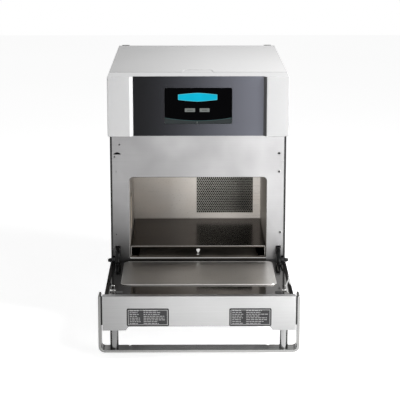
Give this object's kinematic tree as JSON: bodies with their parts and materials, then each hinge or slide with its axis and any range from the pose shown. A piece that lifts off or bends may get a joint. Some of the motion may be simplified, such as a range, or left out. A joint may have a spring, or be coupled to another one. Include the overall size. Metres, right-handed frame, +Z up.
{
  "type": "speed oven",
  "caption": "Countertop speed oven with a drop-down front door, a U-shaped strap handle, a screen hood over the mouth, a sliding jetplate and short legs.",
  "frame": {"origin": "on the ground, at the middle of the whole outline seen from above", "axes": "+Z up, the door opens towards -Y, and +X is to the right of someone facing the oven"},
  "size_m": [0.4378, 0.8532, 0.589],
  "materials": {
    "cover_paint": "satin",
    "brushed_stainless": "brushed",
    "cavity_stainless": "satin",
    "door_lining": "polished",
    "seasoned_steel": "heat tinted",
    "galvanised_steel": "zinc coated",
    "black_steel": "satin",
    "black_gloss": "gloss",
    "black_plastic": "matt",
    "black_rubber": "matt",
    "circuit_board": "satin",
    "mineral_wool": "fibrous",
    "ceramic": "unglazed",
    "white_plastic": "satin"
  },
  "bodies": {
    "oven_body": {"base_pan": "galvanised_steel", "blower_housing": "galvanised_steel", "blower_motor": "black_steel", "catalytic_converter": "ceramic", "cavity_insulation": "mineral_wool", "control_board": "circuit_board", "control_fascia": "black_gloss", "cook_cavity": "cavity_stainless", "cooling_fan_frame": "black_plastic", "display_glass": "black_gloss", "front_frame": "brushed_stainless", "heater_element": "black_steel", "hinge_bracket_left": "black_steel", "hinge_bracket_right": "black_steel", "hinge_pin_left": "black_steel", "hinge_pin_right": "black_steel", "hood_bezel": "cover_paint", "hv_capacitor": "galvanised_steel", "hv_transformer": "black_steel", "interlock_switch_left": "black_plastic", "interlock_switch_right": "black_plastic", "left_side_panel": "brushed_stainless", "leg_front_left": "galvanised_steel", "leg_front_right": "galvanised_steel", "leg_pad_front_left": "black_rubber", "leg_pad_front_right": "black_rubber", "leg_pad_rear_left": "black_rubber", "leg_pad_rear_right": "black_rubber", "leg_rear_left": "galvanised_steel", "leg_rear_right": "galvanised_steel", "magnetron": "galvanised_steel", "power_inlet_gland": "black_rubber", "rear_panel": "galvanised_steel", "return_air_screen": "cavity_stainless", "right_side_panel": "brushed_stainless", "top_cover": "cover_paint", "upper_jetplate": "cavity_stainless", "waveguide": "galvanised_steel", "waveguide_cover": "ceramic"},
    "door": {"door_outer_shell": "brushed_stainless", "door_end_cap": "brushed_stainless", "door_inner_pan": "door_lining", "door_cover_plate": "door_lining", "door_insulation": "mineral_wool", "data_plate_left": "black_plastic", "data_plate_right": "black_plastic", "handle_bar": "brushed_stainless", "handle_post_left": "brushed_stainless", "handle_post_right": "brushed_stainless", "door_hinge_ear_left": "black_steel", "door_hinge_ear_right": "black_steel", "hinge_arm_left": "black_steel", "hinge_arm_right": "black_steel", "latch_hook_left": "brushed_stainless", "latch_hook_right": "brushed_stainless"},
    "jetplate": {"lower_jetplate": "seasoned_steel", "jetplate_clip": "white_plastic"},
    "blower": {"blower_wheel": "galvanised_steel"},
    "fan_rotor": {"cooling_fan_rotor": "black_plastic"},
    "filter": {"air_filter": "black_steel"}
  },
  "joints": [
    {"name": "door_hinge", "type": "hinge", "parent": "oven_body", "child": "door", "pos_m": [0, -0.12145, 0.1442], "axis": [1, 0, 0], "range_deg": [-90, 0]},
    {"name": "jetplate_slide", "type": "slide", "parent": "oven_body", "child": "jetplate", "axis": [0, -1, 0], "range_m": [0, 0.27]},
    {"name": "blower_spin", "type": "hinge", "parent": "oven_body", "child": "blower", "pos_m": [0.0695, 0.18985, 0.245], "axis": [0, 1, 0], "continuous": true},
    {"name": "cooling_fan_spin", "type": "hinge", "parent": "oven_body", "child": "fan_rotor", "pos_m": [-0.09, 0.36275, 0.36], "axis": [0, 1, 0], "continuous": true},
    {"name": "filter_slide", "type": "slide", "parent": "oven_body", "child": "filter", "axis": [0, 0, 1], "range_m": [0, 0.105]}
  ]
}
